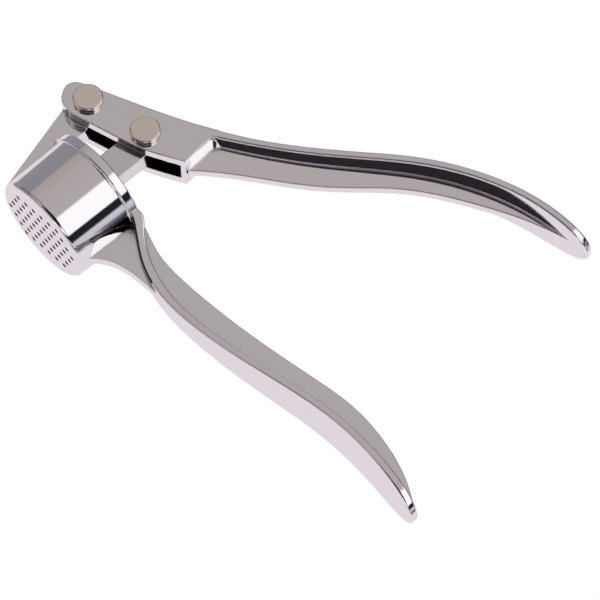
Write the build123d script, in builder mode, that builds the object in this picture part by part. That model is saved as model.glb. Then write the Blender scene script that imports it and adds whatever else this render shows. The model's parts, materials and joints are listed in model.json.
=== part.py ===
from build123d import *
from math import cos, sin, radians
import os

# Lever-type garlic press, lying on its side.
# X runs along the lower grip, Y is the hopper axis (the sieve faces -Y),
# Z is the direction of both rivets, and the mid-plane of the press is Z = 0.
# The origin is the middle of the sieve's outer face.

# ---- hopper and sieve ----
hopper_radius = 18.7        # outer radius at the sieve end
hopper_wall = 1.8
hopper_draft = 0.6          # growth of the outer radius up to the rim
hopper_height = 26.0        # sieve face to rim top
sieve_thickness = 1.7
sieve_edge_round = 1.6
rim_overhang = 1.5          # rim past the outer radius at the sieve end
rim_height = 3.4
hole_radius = 0.9
hole_stagger = 1.08         # spacing along a row against the spacing of rows
row_angle = 10.0            # direction from row to row, in the sieve plane
hole_angle = -112.3         # direction from hole to hole along a row
sieve_margin = 0.56         # solid ring between the last holes and the inner wall

# ---- pivots ----
pivot_setback = 6.2         # main rivet behind the inner wall
plunger_lead = 1.307        # plunger rivet short of the hopper axis
pivot_lift = 15.1           # main rivet above the rim top
rivet_line_angle = 14.4     # direction from the main rivet to the plunger rivet
lever_open_angle = 26.5     # direction of the upper lever
squeeze_angle = 31.0        # lever travel from here to fully squeezed

# ---- rivets ----
sleeve_radius = 2.5
running_gap = 0.05          # radial, moving castings on their rivets
seat_gap = 0.02             # radial, fixed cheeks on their rivets
shank_radius = 1.5
rivet_head_radius = 5.05
rivet_head_height = 2.0

# ---- upper lever ----
cheek_thickness = 3.5
slot_width = 8.0
slot_side_gap = 0.3         # each side of the lug and of the plunger arm
slot_past_rivet = 14.6      # slot end past the plunger rivet, along the lever
slot_roof = 1.5
slot_mouth = 6.6            # the slot is open through the back up to here
flange_thickness = 2.6
web_thickness = 3.0
edge_round = 0.6            # rounding along the flange edges
grip_width = 20.5
upper_reach = 171.0         # main rivet to upper tip, along the lever

# ---- lower lever ----
lower_reach = 155.2         # hopper axis to lower tip
lug_wall = 1.9              # round the main rivet
boss_radius = 8.4
fin_thickness = 4.6
gusset_thickness = 3.5
neck_width = 9.0

# ---- plunger ----
plunger_gap = 1.0           # radial, disc in the hopper
plunger_thickness = 4.0
plunger_offset = 1.24       # disc centre past the plunger rivet
arm_width = 10.0
bottom_gap = 0.5            # plunger above the sieve when squeezed

# ---- derived ----
bore_radius = hopper_radius - hopper_wall
rim_radius = hopper_radius + rim_overhang
row_pitch = (bore_radius - hole_radius - sieve_margin) / 4
hole_pitch = row_pitch * hole_stagger
head_width = slot_width + 2 * cheek_thickness
head_half = head_width / 2
lug_half = slot_width / 2 - slot_side_gap
arm_half = slot_width / 2 - slot_side_gap
pivot_x = -(bore_radius + pivot_setback)
pivot_y = hopper_height + pivot_lift
rivet_spacing = (-pivot_x - plunger_lead) / cos(radians(rivet_line_angle))
lug_radius = sleeve_radius + lug_wall
plunger_radius = bore_radius - plunger_gap
plunger_pivot_x = pivot_x + rivet_spacing * cos(radians(rivet_line_angle))
plunger_pivot_y = pivot_y + rivet_spacing * sin(radians(rivet_line_angle))
along_x = cos(radians(lever_open_angle))
along_y = sin(radians(lever_open_angle))
rivet_u = rivet_spacing * cos(radians(rivet_line_angle - lever_open_angle))
rivet_v = rivet_spacing * sin(radians(rivet_line_angle - lever_open_angle))
slot_end = rivet_u + slot_past_rivet
rim_base = hopper_height - rim_height
plunger_drop = rivet_spacing * (
    sin(radians(rivet_line_angle)) - sin(radians(rivet_line_angle - squeeze_angle))
)
rim_wall = hopper_radius + hopper_draft
plunger_bottom = sieve_thickness + bottom_gap + plunger_drop
plunger_top = plunger_bottom + plunger_thickness
web_start = slot_end + 2.4
su = (upper_reach - web_start) / 132.0
sw = grip_width / 20.5
root_x = hopper_radius + 0.9
grip_start = root_x + 4.9
flange_start = bore_radius - 2.9
sl = (lower_reach - grip_start) / 130.7

sieve_plane = Plane(origin=(0, 0, 0), x_dir=(1, 0, 0), z_dir=(0, -1, 0))
lever_plane = Plane(
    origin=(pivot_x, pivot_y, 0), x_dir=(along_x, along_y, 0), z_dir=(0, 0, 1)
)
upper_plan_plane = Plane(
    origin=(pivot_x, pivot_y, 0), x_dir=(along_x, along_y, 0), z_dir=(-along_y, along_x, 0)
)
lower_plan_plane = Plane(origin=(0, 0, 0), x_dir=(1, 0, 0), z_dir=(0, 1, 0))


def gx(x):
    # a station along the lower grip, counted from its root at the hopper
    return grip_start + x * sl


def ux(x):
    # a station along the upper grip, counted from where its web starts
    return web_start + x * su


def gy(y):
    # a height on the lower grip, counted from the rim top
    return hopper_height + y


# ================= lower lever =================
# Flange of the lower grip: a curved band cut to its plan outline.
lower_outer = [
    (root_x + 3.3, gy(-5.6)),
    (gx(6.1), gy(-10.3)),
    (gx(18.1), gy(-14.3)),
    (gx(28.2), gy(-15.2)),
    (gx(38.6), gy(-14.7)),
    (gx(56.9), gy(-12.1)),
    (gx(74.4), gy(-8.7)),
    (gx(87.7), gy(-6.6)),
    (gx(100.5), gy(-5.9)),
    (gx(115.8), gy(-6.8)),
    (lower_reach + 1.0, gy(-9.1)),
]
lower_inner = [
    (root_x + 1.3, gy(-0.2)),
    (root_x + 2.7, gy(-0.9)),
    (root_x + 4.4, gy(-2.3)),
    (root_x + 6.4, gy(-4.0)),
    (gx(7.5), gy(-7.6)),
    (gx(18.9), gy(-11.2)),
    (gx(28.5), gy(-12.3)),
    (gx(38.5), gy(-11.9)),
    (gx(56.3), gy(-9.4)),
    (gx(73.8), gy(-6)),
    (gx(87.3), gy(-3.9)),
    (gx(100.5), gy(-3.2)),
    (gx(116.2), gy(-4.1)),
    (lower_reach + 1.0, gy(-6.4)),
]
lower_half_plan = [
    (flange_start, neck_width / 2 + 5.0),
    (root_x, neck_width / 2 + 3.8),
    (root_x + 4.5, neck_width / 2 + 2.3),
    (gx(6.5), neck_width / 2 + 0.6),
    (gx(15.5), neck_width / 2),
    (gx(27.5), neck_width / 2 + 0.6),
    (gx(39.4), neck_width / 2 + 1.5),
    (gx(57), 7.5 * sw),
    (gx(74.5), 8.8 * sw),
    (gx(90.5), 9.7 * sw),
    (gx(106.5), 10.25 * sw),
    (gx(117), 9.8 * sw),
    (gx(124.3), 8.1 * sw),
    (gx(128.9), 4.9 * sw),
]
with BuildPart() as lower_flange:
    with BuildSketch(Plane.XY.offset(-grip_width)):
        with BuildLine():
            Spline([(flange_start, rim_base + 0.5), (root_x - 2.4, rim_base + 0.4)] + lower_outer)
            Line(lower_outer[-1], lower_inner[-1])
            Spline([(flange_start, gy(-0.2)), (root_x - 0.8, gy(-0.2))] + lower_inner)
            Line((flange_start, rim_base + 0.5), (flange_start, gy(-0.2)))
        make_face()
    extrude(amount=grip_width * 2)
    with BuildSketch(lower_plan_plane.offset(-60)):
        with BuildLine():
            Spline(lower_half_plan + [(lower_reach, 0)] + [(x, -y) for x, y in reversed(lower_half_plan)])
            Line(lower_half_plan[0], (lower_half_plan[0][0], -lower_half_plan[0][1]))
        make_face()
    extrude(amount=120, mode=Mode.INTERSECT)
    fillet(lower_flange.edges().filter_by(lambda e: e.length > grip_start * 3), edge_round)
lower_flange.part.label = "lower_flange"

with BuildPart() as lower_lever:
    # hopper cup, rim and sieve
    with BuildSketch(Plane.XY):
        with BuildLine():
            Line((0, 0), (hopper_radius - sieve_edge_round, 0))
            RadiusArc(
                (hopper_radius - sieve_edge_round, 0),
                (hopper_radius, sieve_edge_round),
                -sieve_edge_round,
            )
            Line((hopper_radius, sieve_edge_round), (rim_wall, rim_base - 0.4))
            Line((rim_wall, rim_base - 0.4), (rim_wall + 0.35, rim_base))
            Line((rim_wall + 0.35, rim_base), (rim_radius - 0.5, rim_base))
            RadiusArc((rim_radius - 0.5, rim_base), (rim_radius, rim_base + 0.5), -0.5)
            Line((rim_radius, rim_base + 0.5), (rim_radius, hopper_height - 0.6))
            RadiusArc((rim_radius, hopper_height - 0.6), (rim_radius - 0.6, hopper_height), -0.6)
            Line((rim_radius - 0.6, hopper_height), (bore_radius + 0.9, hopper_height))
            Line((bore_radius + 0.9, hopper_height), (bore_radius, hopper_height - 0.9))
            Line((bore_radius, hopper_height - 0.9), (bore_radius, sieve_thickness + 0.7))
            RadiusArc(
                (bore_radius, sieve_thickness + 0.7),
                (bore_radius - 0.7, sieve_thickness),
                0.7,
            )
            Line((bore_radius - 0.7, sieve_thickness), (0, sieve_thickness))
            Line((0, sieve_thickness), (0, 0))
        make_face()
    revolve(axis=Axis.Y, revolution_arc=360)
    # fin from the hopper side up to the pivot
    with BuildSketch(Plane.XY):
        with BuildLine():
            Polyline(
                (-bore_radius - 0.05, 3.0),
                (-hopper_radius - 0.7, 2.5),
                (pivot_x - 5.35, pivot_y - 6.2),
                (pivot_x - lug_radius * 0.99, pivot_y + 0.4),
                (pivot_x, pivot_y + 1.0),
                (pivot_x + lug_radius * 0.97, pivot_y + 0.9),
                (pivot_x + 5.9, pivot_y - 6.0),
                (pivot_x + 5.9, hopper_height),
                (-bore_radius - 0.05, 3.0),
            )
        make_face()
        with Locations((pivot_x, pivot_y)):
            Circle(lug_radius)
    extrude(amount=fin_thickness / 2, both=True)
    # thicker boss that fills the slot of the head
    with BuildSketch(Plane.XY):
        with BuildLine():
            Polyline(
                (pivot_x - 5.95, pivot_y - 8.0),
                (pivot_x - 5.35, pivot_y - 6.2),
                (pivot_x - lug_radius * 0.99, pivot_y + 0.4),
                (pivot_x, pivot_y + 1.0),
                (pivot_x + lug_radius * 0.97, pivot_y + 0.9),
                (pivot_x + 5.9, pivot_y - 6.0),
                (pivot_x + 5.9, pivot_y - 10.0),
                (pivot_x - 5.95, pivot_y - 10.0),
                (pivot_x - 5.95, pivot_y - 8.0),
            )
        make_face()
        with Locations((pivot_x, pivot_y)):
            Circle(boss_radius, mode=Mode.INTERSECT)
            Circle(lug_radius)
    extrude(amount=lug_half, both=True)
    with Locations((pivot_x, pivot_y, 0)):
        Cylinder(sleeve_radius + running_gap, 40, mode=Mode.SUBTRACT)
    # gusset under the neck of the grip
    with BuildSketch(Plane.XY):
        with BuildLine():
            Spline(
                (hopper_radius - hopper_wall / 2, sieve_edge_round + 1.3),
                (hopper_radius + 1.5, gy(-20.1)),
                (hopper_radius + 5.4, gy(-17.4)),
                (hopper_radius + 10.4, gy(-15.6)),
                (gx(12), gy(-14.6)),
                (gx(21.5), gy(-14.1)),
            )
            Polyline(
                (gx(21.5), gy(-14.1)),
                (gx(15.5), gy(-12)),
                (root_x + 8.0, gy(-6.5)),
                (root_x, gy(-1.5)),
                (hopper_radius - hopper_wall / 2, gy(-1.5)),
                (hopper_radius - hopper_wall / 2, sieve_edge_round + 1.3),
            )
        make_face()
    extrude(amount=gusset_thickness / 2, both=True)
    add(lower_flange.part)
    # inner web of the grip
    with BuildSketch(Plane.XY):
        with BuildLine():
            Spline(
                (root_x + 0.2, gy(0)),
                (root_x + 4.8, gy(-1.5)),
                (gx(7), gy(-3.8)),
                (gx(21.1), gy(-4.8)),
                (gx(40.9), gy(-3.2)),
                (gx(58.8), gy(-0.6)),
                (gx(75.7), gy(2.5)),
                (gx(89.3), gy(4.4)),
                (gx(104.9), gy(3.4)),
                (gx(116.6), gy(0.4)),
                (gx(126), gy(-4.2)),
            )
            Polyline(
                (gx(126), gy(-4.2)),
                (gx(125.5), gy(-6.6)),
                (gx(115.5), gy(-5.6)),
                (gx(100.5), gy(-4.6)),
                (gx(87.5), gy(-5.2)),
                (gx(74), gy(-7.3)),
                (gx(56.5), gy(-10.8)),
                (gx(38.5), gy(-13.3)),
                (gx(28.5), gy(-13.8)),
                (gx(18.5), gy(-12.8)),
                (gx(7), gy(-9)),
                (root_x + 1.2, gy(-2.4)),
                (root_x + 0.2, gy(0)),
            )
        make_face()
    extrude(amount=web_thickness / 2, both=True)
    # clear the bore again and open the sieve
    with BuildSketch(Plane.XZ.offset(-hopper_height - 0.5)):
        Circle(bore_radius)
    extrude(amount=hopper_height + 0.5 - sieve_thickness - 0.7, mode=Mode.SUBTRACT)
    with BuildSketch(sieve_plane):
        for i in range(-4, 5):
            for j in range(-3, 4):
                if abs(j - i) <= 4:
                    hx = i * row_pitch * cos(radians(row_angle)) + j * hole_pitch * cos(
                        radians(hole_angle)
                    )
                    hz = i * row_pitch * sin(radians(row_angle)) + j * hole_pitch * sin(
                        radians(hole_angle)
                    )
                    with Locations((hx, hz)):
                        Circle(hole_radius)
    extrude(amount=-sieve_thickness - 1.0, mode=Mode.SUBTRACT)
lower_lever.part.label = "lower_lever"

# ================= upper lever =================
upper_outer = [
    (slot_end - 4.6, 3.75),
    (ux(4), 4.2),
    (ux(19), 5.5),
    (ux(36), 8.6),
    (ux(53), 12.8),
    (ux(67), 16.2),
    (ux(78), 17.8),
    (ux(88), 18.3),
    (ux(97.5), 17.9),
    (ux(106.6), 16.6),
    (ux(115.3), 14.5),
    (ux(124), 11.7),
    (upper_reach + 1.0, 8.4),
]
upper_inner = [
    (slot_end - 4.6, 0.6),
    (ux(4.6), 1.3),
    (ux(19.4), 3.0),
    (ux(36.7), 6.1),
    (ux(53.7), 10.3),
    (ux(67.6), 13.6),
    (ux(78.3), 15.2),
    (ux(88), 15.7),
    (ux(97), 15.3),
    (ux(105.8), 14.1),
    (ux(114.4), 12.0),
    (ux(123), 9.2),
    (upper_reach + 1.0, 5.7),
]
upper_half_plan = [
    (slot_end - 16.6, head_half),
    (slot_end - 4.6, head_half),
    (ux(4), head_half + 0.1),
    (ux(19), 7.95 * sw),
    (ux(36), 8.4 * sw),
    (ux(58), 9.1 * sw),
    (ux(78), 9.8 * sw),
    (ux(98), 10.25 * sw),
    (ux(114), 10.0 * sw),
    (ux(124), 8.2 * sw),
    (ux(129.8), 4.9 * sw),
]
with BuildPart() as upper_flange:
    with BuildSketch(lever_plane.offset(-grip_width)):
        with BuildLine():
            Spline(upper_outer)
            Line(upper_outer[-1], upper_inner[-1])
            Spline(upper_inner)
            Line(upper_inner[0], upper_outer[0])
        make_face()
    extrude(amount=grip_width * 2)
    with BuildSketch(upper_plan_plane.offset(-60)):
        with BuildLine():
            Spline(upper_half_plan + [(upper_reach, 0)] + [(x, -y) for x, y in reversed(upper_half_plan)])
            Line(upper_half_plan[0], (upper_half_plan[0][0], -upper_half_plan[0][1]))
        make_face()
    extrude(amount=120, mode=Mode.INTERSECT)
    fillet(upper_flange.edges().filter_by(lambda e: e.length > upper_reach / 3), edge_round)
upper_flange.part.label = "upper_flange"

# The head ends in a wall that sweeps round into the flange.
end_slope = (3.9, 10.1)
end_low = (slot_end + 1.7, rivet_v - 5.8)
end_high = (slot_end + 5.2, rivet_v + 3.3)
end_flange = (slot_end + 9.3, 1.8)
end_corner = (slot_end + 7.8, 1.5)
end_sweep = 6.0
with BuildPart() as upper_lever:
    with BuildSketch(lever_plane):
        with BuildLine():
            Spline(
                (-3.5, 5.05),
                (-6.9, 4.45),
                (-8.7, 2.3),
                (-8.85, -0.3),
                (-7.2, -4.2),
                (-4.2, -6.3),
                (-0.8, -7.2),
                tangents=[(-1, 0.03), (1, -0.17)],
            )
            Spline(
                (-0.8, -7.2),
                (rivet_u - 8.5, rivet_v - 4.9),
                (rivet_u, rivet_v - 6.1),
                (rivet_u + 8.0, rivet_v - 6.2),
                end_low,
                tangents=[(1, -0.17), (1, 0.08)],
            )
            Line(end_low, end_high)
            TangentArc(end_high, end_flange, tangent=end_slope)
            Line(end_flange, (end_flange[0], 3.2))
            Line((end_flange[0], 3.2), (slot_end + 7.6, 4.25))
            Spline(
                (slot_end + 7.6, 4.25),
                (slot_end - 4.6, 3.75),
                (rivet_u - 6.0, 4.15),
                (-3.5, 5.05),
                tangents=[(-1, -0.08), (-1, 0.03)],
            )
        make_face()
    extrude(amount=head_half, both=True)
    # the end wall leans out towards the web
    for side in (1, -1):
        with BuildSketch(lever_plane.offset(1.2 * side)) as end_wall:
            with BuildLine():
                Polyline(
                    (slot_end + 0.8, rivet_v - 5.3),
                    (end_low[0] + 1.3, rivet_v - 5.3),
                    end_corner,
                    (slot_end + 13.5, 2.25),
                    (slot_end + 13.5, 4.2),
                    (slot_end + 0.8, 3.5),
                    (slot_end + 0.8, rivet_v - 5.3),
                )
            make_face()
            fillet(end_wall.vertices().sort_by_distance(Vector(*end_corner))[0], end_sweep)
        extrude(amount=5.8 * side, taper=11)
    # slot for the lug and the plunger arm
    with BuildSketch(lever_plane):
        with BuildLine():
            Polyline(
                (-12, -16),
                (slot_end - 1.0, -16),
                (slot_end, rivet_v - 5.3),
                (slot_end, slot_roof - 2.0),
                (slot_end - 2.0, slot_roof),
                (slot_mouth + 1.5, slot_roof),
                (slot_mouth, slot_roof + 1.5),
                (slot_mouth, 9),
                (-12, 9),
                (-12, -16),
            )
        make_face()
    extrude(amount=slot_width / 2, both=True, mode=Mode.SUBTRACT)
    add(upper_flange.part)
    # web of the grip
    with BuildSketch(lever_plane):
        with BuildLine():
            Spline(
                (web_start, rivet_v - 5.6),
                (ux(6.3), -8.4),
                (ux(21.7), -5.1),
                (ux(39.9), -1.5),
                (ux(52.9), 2.6),
                (ux(64), 6.5),
                (ux(75), 9.1),
                (ux(91.8), 10.7),
                (ux(109), 10.8),
                (ux(118.5), 9.8),
                (ux(125.5), 8.5),
            )
            Polyline(
                (ux(125.5), 8.5),
                (ux(125.0), 9.6),
                (ux(117), 12.4),
                (ux(106), 15.2),
                (ux(97), 16.4),
                (ux(88), 16.8),
                (ux(78), 16.3),
                (ux(67), 14.7),
                (ux(53), 11.3),
                (ux(36), 7.1),
                (ux(19), 4.0),
                (slot_end + 6.4, 2.2),
                (web_start, 0.0),
                (web_start, rivet_v - 5.6),
            )
        make_face()
    extrude(amount=web_thickness / 2, both=True)
    with BuildSketch(lever_plane):
        with Locations((0, 0), (rivet_u, rivet_v)):
            Circle(sleeve_radius + seat_gap)
    extrude(amount=head_width, both=True, mode=Mode.SUBTRACT)
upper_lever.part.label = "upper_lever"

# ================= plunger =================
with BuildPart() as plunger:
    with BuildSketch(Plane.XY):
        with BuildLine():
            Polyline(
                (0, plunger_bottom),
                (plunger_radius - 0.5, plunger_bottom),
                (plunger_radius, plunger_bottom + 0.5),
                (plunger_radius, plunger_top - 0.8),
                (plunger_radius - 0.8, plunger_top),
                (0, plunger_top),
                (0, plunger_bottom),
            )
        make_face()
    revolve(axis=Axis.Y, revolution_arc=360)
plunger_disc = plunger.part

with BuildPart() as plunger:
    with Locations((plunger_pivot_x + plunger_offset, 0, 0)):
        add(plunger_disc)
    with BuildSketch(Plane.XY):
        with BuildLine():
            Polyline(
                (plunger_pivot_x - arm_width / 2, plunger_pivot_y),
                (plunger_pivot_x - arm_width / 2, plunger_top - 1.0),
                (plunger_pivot_x + arm_width / 2, plunger_top - 1.0),
                (plunger_pivot_x + arm_width / 2, plunger_pivot_y),
                (plunger_pivot_x - arm_width / 2, plunger_pivot_y),
            )
        make_face()
        with Locations((plunger_pivot_x, plunger_pivot_y)):
            Circle(arm_width / 2)
    extrude(amount=arm_half, both=True)
    with Locations((plunger_pivot_x, plunger_pivot_y, 0)):
        Cylinder(sleeve_radius + running_gap, 40, mode=Mode.SUBTRACT)
plunger.part.label = "plunger"

# ================= rivets =================
# Two-piece compression rivets: a headed pin pressed into a headed sleeve.
with BuildPart() as main_rivet_sleeve:
    with BuildSketch(Plane.XY.offset(-head_half)):
        with Locations((pivot_x, pivot_y)):
            Circle(sleeve_radius)
    extrude(amount=head_width - 0.3)
    with BuildSketch(Plane.XY.offset(-head_half - rivet_head_height)):
        with Locations((pivot_x, pivot_y)):
            Circle(rivet_head_radius)
    extrude(amount=rivet_head_height)
    fillet(main_rivet_sleeve.faces().sort_by(Axis.Z)[0].edges(), 0.6)
    with BuildSketch(Plane.XY.offset(-head_half + 1.0)):
        with Locations((pivot_x, pivot_y)):
            Circle(shank_radius)
    extrude(amount=head_width, mode=Mode.SUBTRACT)
main_rivet_sleeve.part.label = "main_rivet_sleeve"

with BuildPart() as main_rivet_pin:
    with BuildSketch(Plane.XY.offset(-head_half + 2.0)):
        with Locations((pivot_x, pivot_y)):
            Circle(shank_radius)
    extrude(amount=head_width - 2.0)
    with BuildSketch(Plane.XY.offset(head_half)):
        with Locations((pivot_x, pivot_y)):
            Circle(rivet_head_radius)
    extrude(amount=rivet_head_height)
    fillet(main_rivet_pin.faces().sort_by(Axis.Z)[-1].edges(), 0.6)
main_rivet_pin.part.label = "main_rivet_pin"

with BuildPart() as plunger_rivet_sleeve:
    with BuildSketch(Plane.XY.offset(-head_half)):
        with Locations((plunger_pivot_x, plunger_pivot_y)):
            Circle(sleeve_radius)
    extrude(amount=head_width - 0.3)
    with BuildSketch(Plane.XY.offset(-head_half - rivet_head_height)):
        with Locations((plunger_pivot_x, plunger_pivot_y)):
            Circle(rivet_head_radius)
    extrude(amount=rivet_head_height)
    fillet(plunger_rivet_sleeve.faces().sort_by(Axis.Z)[0].edges(), 0.6)
    with BuildSketch(Plane.XY.offset(-head_half + 1.0)):
        with Locations((plunger_pivot_x, plunger_pivot_y)):
            Circle(shank_radius)
    extrude(amount=head_width, mode=Mode.SUBTRACT)
plunger_rivet_sleeve.part.label = "plunger_rivet_sleeve"

with BuildPart() as plunger_rivet_pin:
    with BuildSketch(Plane.XY.offset(-head_half + 2.0)):
        with Locations((plunger_pivot_x, plunger_pivot_y)):
            Circle(shank_radius)
    extrude(amount=head_width - 2.0)
    with BuildSketch(Plane.XY.offset(head_half)):
        with Locations((plunger_pivot_x, plunger_pivot_y)):
            Circle(rivet_head_radius)
    extrude(amount=rivet_head_height)
    fillet(plunger_rivet_pin.faces().sort_by(Axis.Z)[-1].edges(), 0.6)
plunger_rivet_pin.part.label = "plunger_rivet_pin"

os.makedirs("parts", exist_ok=True)
export_step(lower_lever.part, "parts/lower_lever.step")
export_step(upper_lever.part, "parts/upper_lever.step")
export_step(plunger.part, "parts/plunger.step")
export_step(main_rivet_sleeve.part, "parts/main_rivet_sleeve.step")
export_step(main_rivet_pin.part, "parts/main_rivet_pin.step")
export_step(plunger_rivet_sleeve.part, "parts/plunger_rivet_sleeve.step")
export_step(plunger_rivet_pin.part, "parts/plunger_rivet_pin.step")
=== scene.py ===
import bpy
import json
import math
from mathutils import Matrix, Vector


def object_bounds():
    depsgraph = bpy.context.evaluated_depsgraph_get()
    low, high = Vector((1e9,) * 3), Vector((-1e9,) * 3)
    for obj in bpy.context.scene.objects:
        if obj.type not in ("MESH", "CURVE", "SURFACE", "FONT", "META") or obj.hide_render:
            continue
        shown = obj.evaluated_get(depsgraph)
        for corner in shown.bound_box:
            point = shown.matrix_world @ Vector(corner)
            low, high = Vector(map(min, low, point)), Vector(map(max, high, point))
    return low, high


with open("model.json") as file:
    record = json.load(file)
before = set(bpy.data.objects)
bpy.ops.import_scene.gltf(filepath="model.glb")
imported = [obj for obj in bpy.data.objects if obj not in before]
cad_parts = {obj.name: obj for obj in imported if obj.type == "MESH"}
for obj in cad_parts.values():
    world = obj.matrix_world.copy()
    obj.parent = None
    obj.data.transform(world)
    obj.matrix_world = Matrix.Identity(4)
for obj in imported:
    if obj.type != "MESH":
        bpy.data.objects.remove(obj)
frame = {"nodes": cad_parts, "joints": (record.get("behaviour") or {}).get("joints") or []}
size_at_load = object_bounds()
scene = bpy.context.scene
scene.view_settings.view_transform = "Standard"

# ---------------- places, in metres ----------------
PIVOT = Vector(next(j for j in frame["joints"] if j["name"] == "lever_pivot")["pos_m"])
OPEN = math.radians(26.5)  # how far the upper lever stands open
ALONG = Vector((math.cos(OPEN), math.sin(OPEN), 0.0))  # down the upper lever
ACROSS = Vector((-math.sin(OPEN), math.cos(OPEN), 0.0))  # towards the upper lever's back
WEB_HALF = 0.0017  # just over half the webs' thickness
BORE_RADIUS = 0.01695
SIEVE_SKIN = 0.00006  # depth of the sieve's outer face that stays bright
SLOT_HALF = 0.00403
SLOT_LENGTH = 0.03665  # from the pivot
SLOT_TOP = 0.0025  # from the pivot, within the wall over the slot
NECK_START = 0.0194
NECK_END = 0.040
NECK_LOW = 0.009
BESIDE_WEB = 0.0019
FLOOR_GAP = 0.0004
FLOOR_HALF = 2.5

# ---------------- finish and painted shade ---
CHROME = (0.97, 0.95, 0.97, 1.0)
PLATE = (0.88, 0.87, 0.88, 1.0)
STEEL = (0.97, 0.88, 0.80, 1.0)
# painted shade: dark tones for the hopper's inside, the hollow under the neck and the head's slot
CUP_PAINTED_SHADE = (0.035, 0.03, 0.035, 1.0)
NECK_PAINTED_SHADE = (0.06, 0.05, 0.055, 1.0)
SLOT_PAINTED_SHADE = (0.03, 0.024, 0.026, 1.0)
WHITE = (1.0, 1.0, 1.0, 1.0)
ROUGH_SPREAD = 0.05  # from the smoothest to the roughest spot
LOWER_DRAFT = 0.10
UPPER_DRAFT = 0.16
FACE_ON = 0.95  # a normal with more than this along Z belongs to a web's flat face
FACING_DOWN = -0.25  # a normal with less than this along Y looks down
SWELL_SCALE, SWELL_DETAIL = 55.0, 2.0
GRAIN_SCALE, GRAIN_DETAIL = 1600.0, 3.0
GRAIN_LOW, GRAIN_HIGH = 0.3, 0.7
BUMP_STRENGTH, BUMP_DEPTH = 0.04, 0.0004
EDGE_SAMPLES = 6
RECESS_SAMPLES = 8
# painted shade in deep recesses, from ambient occlusion
RECESS_DEPTH = 0.006
RECESS_CLOSED, RECESS_OPEN = 0.12, 0.62  # share of open sky at which the tone is least and full
RECESS_TONE = 0.02


def linear(colour):
    """sRGB from 0 to 255, as a linear colour with alpha."""
    out = []
    for value in colour:
        value = value / 255.0
        out.append(value / 12.92 if value <= 0.04045 else ((value + 0.055) / 1.055) ** 2.4)
    return out + [1.0]


# ---------------- node helpers ----------------
def new_material(name):
    mat = bpy.data.materials.new(name)
    mat.use_nodes = True
    tree = mat.node_tree
    tree.nodes.clear()
    return mat, tree


def add(tree, kind, **values):
    node = tree.nodes.new(kind)
    for key, value in values.items():
        setattr(node, key, value)
    return node


def feed(tree, socket, value):
    """Links a socket, or sets a plain value."""
    if isinstance(value, bpy.types.NodeSocket):
        tree.links.new(value, socket)
    else:
        socket.default_value = value


def calc(tree, operation, *values):
    node = add(tree, "ShaderNodeMath", operation=operation)
    for socket, value in zip(node.inputs, values):
        feed(tree, socket, value)
    return node.outputs[0]


def vector_calc(tree, operation, *values):
    node = add(tree, "ShaderNodeVectorMath", operation=operation)
    for socket, value in zip(node.inputs, values):
        feed(tree, socket, value)
    return node


def dot(tree, vector, direction):
    return vector_calc(tree, "DOT_PRODUCT", vector, direction).outputs["Value"]


def xyz(tree, vector):
    node = add(tree, "ShaderNodeSeparateXYZ")
    tree.links.new(vector, node.inputs[0])
    return node.outputs["X"], node.outputs["Y"], node.outputs["Z"]


def smooth_step(tree, value, low, high, bottom=0.0):
    node = add(tree, "ShaderNodeMapRange", interpolation_type="SMOOTHSTEP")
    node.inputs["From Min"].default_value = low
    node.inputs["From Max"].default_value = high
    node.inputs["To Min"].default_value = bottom
    tree.links.new(value, node.inputs["Value"])
    return node.outputs["Result"]


def joined(tree, operation, sockets):
    result = sockets[0]
    for socket in sockets[1:]:
        result = calc(tree, operation, result, socket)
    return result


def where(tree, *tests):
    """1 where every (socket, comparison, limit) holds, 0 elsewhere."""
    results = [calc(tree, comparison, socket, limit) for socket, comparison, limit in tests]
    return joined(tree, "MULTIPLY", results)


def blend(tree, mask, colour, other):
    """colour where the mask is 0, other where it is 1."""
    node = add(tree, "ShaderNodeMix", data_type="RGBA")
    feed(tree, node.inputs[0], mask)
    feed(tree, node.inputs[6], colour)
    feed(tree, node.inputs[7], other)
    return node.outputs[2]


def noise(tree, place, scale, detail):
    node = add(tree, "ShaderNodeTexNoise")
    node.inputs["Scale"].default_value = scale
    node.inputs["Detail"].default_value = detail
    tree.links.new(place, node.inputs["Vector"])
    return node.outputs["Fac"]


# ---------------- metals ----------------
def drafted(tree, place, normal, lean):
    """Shades the webs' flat faces as if they were drafted, by leaning their normals."""
    geometry = add(tree, "ShaderNodeNewGeometry")
    z = xyz(tree, place)[2]
    normal_z = xyz(tree, geometry.outputs["True Normal"])[2]
    web = where(
        tree,
        (calc(tree, "ABSOLUTE", normal_z), "GREATER_THAN", FACE_ON),
        (calc(tree, "ABSOLUTE", z), "LESS_THAN", WEB_HALF),
    )
    push = add(tree, "ShaderNodeVectorMath", operation="SCALE")
    push.inputs[0].default_value = lean
    tree.links.new(web, push.inputs["Scale"])
    # the tilt belongs to the piece, so it turns with it
    turned = add(tree, "ShaderNodeVectorTransform", vector_type="VECTOR", convert_from="OBJECT")
    turned.convert_to = "WORLD"
    tree.links.new(push.outputs[0], turned.inputs[0])
    total = vector_calc(tree, "ADD", normal, turned.outputs[0])
    return vector_calc(tree, "NORMALIZE", total.outputs[0]).outputs[0]


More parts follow.
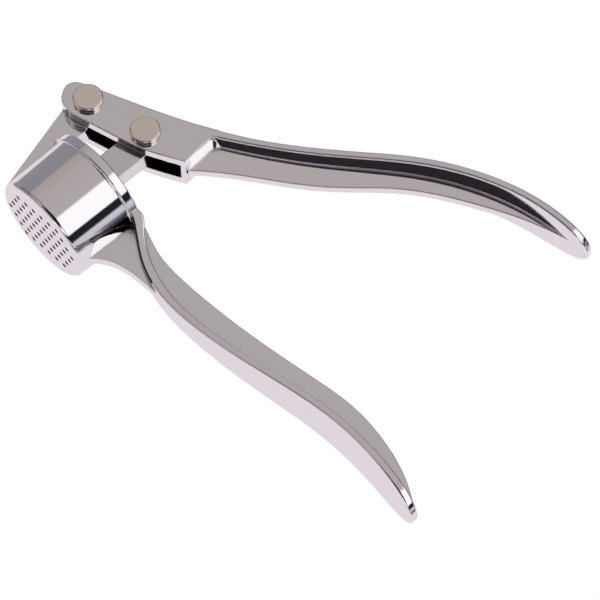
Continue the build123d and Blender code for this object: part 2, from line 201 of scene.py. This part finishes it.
def lower_shade(tree, place, colour):
    """Paints shade into the hopper's inside, the sieve holes and the hollow under the neck."""
    x, y, z = xyz(tree, place)
    level = add(tree, "ShaderNodeCombineXYZ")
    tree.links.new(x, level.inputs["X"])
    tree.links.new(z, level.inputs["Z"])
    from_axis = vector_calc(tree, "LENGTH", level.outputs[0]).outputs["Value"]
    # painted shade inside the hopper and the sieve holes
    cup = where(tree, (from_axis, "LESS_THAN", BORE_RADIUS), (y, "GREATER_THAN", SIEVE_SKIN))
    geometry = add(tree, "ShaderNodeNewGeometry")
    normal_y = xyz(tree, geometry.outputs["Normal"])[1]
    # painted shade on the down-facing faces under the neck, beside the web
    neck = where(
        tree,
        (x, "GREATER_THAN", NECK_START),
        (x, "LESS_THAN", NECK_END),
        (y, "GREATER_THAN", NECK_LOW),
        (calc(tree, "ABSOLUTE", z), "GREATER_THAN", BESIDE_WEB),
        (normal_y, "LESS_THAN", FACING_DOWN),
    )
    return blend(tree, neck, blend(tree, cup, colour, CUP_PAINTED_SHADE), NECK_PAINTED_SHADE)


def upper_shade(tree, place, colour):
    """Paints shade into the inside of the head's slot. The outside of the back stays bright."""
    z = xyz(tree, place)[2]
    # painted shade inside the slot
    slot = where(
        tree,
        (calc(tree, "ABSOLUTE", z), "LESS_THAN", SLOT_HALF),
        (dot(tree, place, ACROSS), "LESS_THAN", PIVOT.dot(ACROSS) + SLOT_TOP),
        (dot(tree, place, ALONG), "LESS_THAN", PIVOT.dot(ALONG) + SLOT_LENGTH),
    )
    return blend(tree, slot, colour, SLOT_PAINTED_SHADE)


def metal(name, tint, rough, bevel, grain_share=0.1, lean=None, shade=None):
    mat, tree = new_material(name)
    out = add(tree, "ShaderNodeOutputMaterial")
    shader = add(tree, "ShaderNodeBsdfPrincipled")
    shader.inputs["Metallic"].default_value = 1.0
    tree.links.new(shader.outputs[0], out.inputs["Surface"])
    place = add(tree, "ShaderNodeTexCoord").outputs["Object"]

    # cast skin under the plating: slow swell and fine grain
    swell = noise(tree, place, SWELL_SCALE, SWELL_DETAIL)
    grain = noise(tree, place, GRAIN_SCALE, GRAIN_DETAIL)
    bump = add(tree, "ShaderNodeBump")
    bump.inputs["Strength"].default_value = BUMP_STRENGTH
    bump.inputs["Distance"].default_value = BUMP_DEPTH
    tree.links.new(calc(tree, "MULTIPLY_ADD", grain, grain_share, swell), bump.inputs["Height"])
    edge = add(tree, "ShaderNodeBevel", samples=EDGE_SAMPLES)
    edge.inputs["Radius"].default_value = bevel
    normal = edge.outputs["Normal"]
    if lean:
        normal = drafted(tree, place, normal, lean)
    tree.links.new(normal, bump.inputs["Normal"])
    tree.links.new(bump.outputs["Normal"], shader.inputs["Normal"])

    # painted shade: deep recesses lose their light in the colour, by ambient occlusion
    hollow = add(tree, "ShaderNodeAmbientOcclusion", samples=RECESS_SAMPLES)
    hollow.inputs["Distance"].default_value = RECESS_DEPTH
    tone = add(tree, "ShaderNodeMix", data_type="RGBA", blend_type="MULTIPLY")
    tone.inputs[0].default_value = 1.0
    tone.inputs[6].default_value = tint
    light = smooth_step(tree, hollow.outputs["AO"], RECESS_CLOSED, RECESS_OPEN, bottom=RECESS_TONE)
    tree.links.new(light, tone.inputs[7])
    colour = tone.outputs[2]
    # the shade functions paint shade into the pieces' hollows
    if shade:
        colour = shade(tree, place, colour)
    tree.links.new(colour, shader.inputs["Base Color"])

    spread = add(tree, "ShaderNodeMapRange")
    spread.inputs["From Min"].default_value = GRAIN_LOW
    spread.inputs["From Max"].default_value = GRAIN_HIGH
    spread.inputs["To Min"].default_value = rough
    spread.inputs["To Max"].default_value = rough + ROUGH_SPREAD
    tree.links.new(grain, spread.inputs["Value"])
    tree.links.new(spread.outputs["Result"], shader.inputs["Roughness"])
    return mat


lower_looks = {"lean": Vector((0.0, LOWER_DRAFT, 0.0)), "shade": lower_shade}
upper_looks = {"lean": ACROSS * -UPPER_DRAFT, "shade": upper_shade}
finishes = {
    "lower_lever": metal("chrome_lower", CHROME, rough=0.03, bevel=0.0004, **lower_looks),
    "upper_lever": metal("chrome_upper", CHROME, rough=0.03, bevel=0.0008, **upper_looks),
    "plunger": metal("plunger_plate", PLATE, rough=0.08, bevel=0.0005),
}
rivet_steel = metal("rivet_steel", STEEL, rough=0.13, bevel=0.0004, grain_share=0.05)
for name, node in frame["nodes"].items():
    node.data.materials.clear()
    node.data.materials.append(finishes.get(name, rivet_steel))

# ---------------- surroundings ----------------
# What the plating mirrors, by the angle about Y in degrees from straight up, towards +X.
BANDS = [
    (-180, (226, 217, 224)),
    (-114, (226, 217, 224)),
    (-110, (140, 138, 145)),
    (-58, (134, 133, 141)),
    (-54, (164, 156, 151)),
    (-28, (172, 166, 165)),
    (20, (176, 169, 171)),
    (24, (255, 255, 255)),
    (64, (255, 255, 255)),
    (66, (30, 26, 32)),
    (81, (34, 30, 38)),
    (84, (200, 200, 210)),
    (94, (195, 195, 205)),
    (99, (95, 92, 102)),
    (106, (110, 106, 116)),
    (114, (226, 217, 224)),
    (180, (226, 217, 224)),
]
# Dark cloths: direction, and the angles in degrees where each starts to fade and is gone.
CLOTHS = [
    ((0.330, -0.307, 0.893), 19, 24),
    ((0.16, -0.68, 0.72), 22, 30),
    ((0.05, 0.99, -0.08), 28, 38),
]
CLOTH_COLOUR = (38, 31, 38)
# A dark strip across the upper half of the room.
STRIP_Y = -0.22
STRIP_FULL = 0.07
STRIP_GONE = 0.12
STRIP_LOWEST = 0.1

world = bpy.data.worlds.new("studio")
scene.world = world
world.use_nodes = True
room = world.node_tree
room.nodes.clear()
toward = add(room, "ShaderNodeTexCoord").outputs["Generated"]
toward_x, toward_y, toward_z = xyz(room, toward)


def banded():
    place = add(room, "ShaderNodeMapRange")
    place.inputs["From Min"].default_value = -math.pi
    place.inputs["From Max"].default_value = math.pi
    room.links.new(calc(room, "ARCTAN2", toward_x, toward_z), place.inputs["Value"])
    node = add(room, "ShaderNodeValToRGB")
    ramp = node.color_ramp
    ramp.interpolation = "LINEAR"
    while len(ramp.elements) > 1:
        ramp.elements.remove(ramp.elements[-1])
    for i, (degrees, colour) in enumerate(BANDS):
        position = (degrees + 180) / 360.0
        element = ramp.elements.new(position) if i else ramp.elements[0]
        element.position = position
        element.color = linear(colour)
    room.links.new(place.outputs["Result"], node.inputs["Fac"])
    return node.outputs["Color"]


def cloth(direction, fades, gone):
    """1 inside the cone, 0 outside it."""
    closeness = dot(room, toward, Vector(direction).normalized())
    return smooth_step(room, closeness, math.cos(math.radians(gone)), math.cos(math.radians(fades)))


def strip():
    distance = calc(room, "ABSOLUTE", calc(room, "ADD", toward_y, -STRIP_Y))
    overhead = calc(room, "GREATER_THAN", toward_z, STRIP_LOWEST)
    return calc(room, "MULTIPLY", smooth_step(room, distance, STRIP_GONE, STRIP_FULL), overhead)


def choose_by_ray(tree, seen, mirrored):
    """seen is what shows and lights the press, mirrored is what its plating reflects."""
    path = add(tree, "ShaderNodeLightPath")
    pick = add(tree, "ShaderNodeMixShader")
    tree.links.new(path.outputs["Is Glossy Ray"], pick.inputs[0])
    tree.links.new(seen.outputs[0], pick.inputs[1])
    tree.links.new(mirrored.outputs[0], pick.inputs[2])
    return pick.outputs[0]


darkness = joined(room, "MAXIMUM", [cloth(*values) for values in CLOTHS] + [strip()])
mirrored_room = add(room, "ShaderNodeBackground")
room.links.new(blend(room, darkness, banded(), linear(CLOTH_COLOUR)), mirrored_room.inputs["Color"])
white_room = add(room, "ShaderNodeBackground")
white_room.inputs["Color"].default_value = WHITE
room_out = add(room, "ShaderNodeOutputWorld")
room.links.new(choose_by_ray(room, white_room, mirrored_room), room_out.inputs["Surface"])

# ---------------- floor ----------------
floor_z = size_at_load[0][2] - FLOOR_GAP
corners = [(x * FLOOR_HALF, y * FLOOR_HALF, floor_z) for x, y in ((-1, -1), (1, -1), (1, 1), (-1, 1))]
floor_mesh = bpy.data.meshes.new("floor")
floor_mesh.from_pydata(corners, [], [(0, 1, 2, 3)])
floor = bpy.data.objects.new("floor", floor_mesh)
scene.collection.objects.link(floor)
floor_white, floor_tree = new_material("floor_white")
paper = add(floor_tree, "ShaderNodeEmission")
paper.inputs["Color"].default_value = WHITE
clear = add(floor_tree, "ShaderNodeBsdfTransparent")
floor_out = add(floor_tree, "ShaderNodeOutputMaterial")
floor_tree.links.new(choose_by_ray(floor_tree, paper, clear), floor_out.inputs["Surface"])
floor.data.materials.append(floor_white)

# ---------------- camera ----------------
CAMERA_PLACE = (0.444458, -0.300095, 0.999696)
CAMERA_TILT = math.radians(26.8)
CAMERA_SWING = math.radians(47.0)
CAMERA_LENS = 210.0  # in millimetres, on a sensor 36 wide
cam_data = bpy.data.cameras.new("camera")
cam_data.lens = CAMERA_LENS
cam_data.sensor_width = 36.0
cam_data.clip_end = 50.0
camera = bpy.data.objects.new("camera", cam_data)
camera.location = CAMERA_PLACE
camera.rotation_euler = (CAMERA_TILT, 0.0, CAMERA_SWING)
scene.collection.objects.link(camera)
scene.camera = camera
